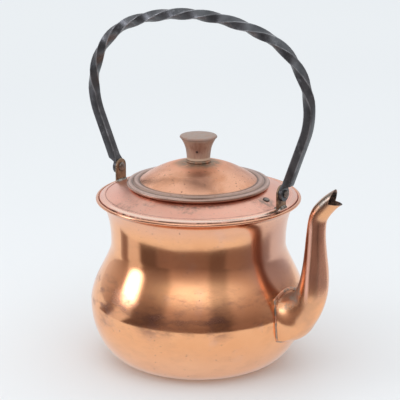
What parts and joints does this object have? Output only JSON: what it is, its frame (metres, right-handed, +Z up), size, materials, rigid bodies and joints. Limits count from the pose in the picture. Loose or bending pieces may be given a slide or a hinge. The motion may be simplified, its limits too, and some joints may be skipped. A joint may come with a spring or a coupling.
{
  "type": "copper kettle with swinging bail",
  "caption": "Round-bellied copper kettle with a flared rim, sloping top plate, domed lift-off lid with turned knob, gooseneck spout and twisted iron bail handle.",
  "frame": {"origin": "centre of the flat base, on the kettle's axis, at the surface it stands on", "axes": "+Z up along the axis of the body and lid, +X towards the spout, +Y to the left of the spout seen from behind; the bail stands in the XZ plane"},
  "size_m": [0.2323, 0.1718, 0.2809],
  "materials": {
    "copper": "polished copper, worn",
    "lid_copper": "dulled copper",
    "old_brass": "darkened brass",
    "iron": "forged iron, burnished on the edges",
    "steel": "plain",
    "knob_wood": "worn and greyed"
  },
  "bodies": {
    "kettle": {"body_pot": "copper", "top_plate": "copper", "spout": "copper", "ear_by_spout": "old_brass", "ear_rivet_by_spout": "old_brass", "pivot_rivet_by_spout": "old_brass", "ear_at_back": "old_brass", "ear_rivet_at_back": "old_brass", "pivot_rivet_at_back": "old_brass"},
    "bail": {"bail_handle": "iron"},
    "lid": {"lid_cover": "lid_copper", "lid_skirt": "lid_copper", "knob_collar": "lid_copper", "knob": "knob_wood", "knob_washer": "steel", "knob_screw": "steel"}
  },
  "joints": [
    {"name": "bail_swing", "type": "hinge", "parent": "kettle", "child": "bail", "pos_m": [0, 0, 0.1462], "axis": [1, 0, 0], "range_deg": [-130, 130]},
    {"name": "lid_lift", "type": "slide", "parent": "kettle", "child": "lid", "axis": [0, 0, 1], "range_m": [0, 0.08]}
  ]
}
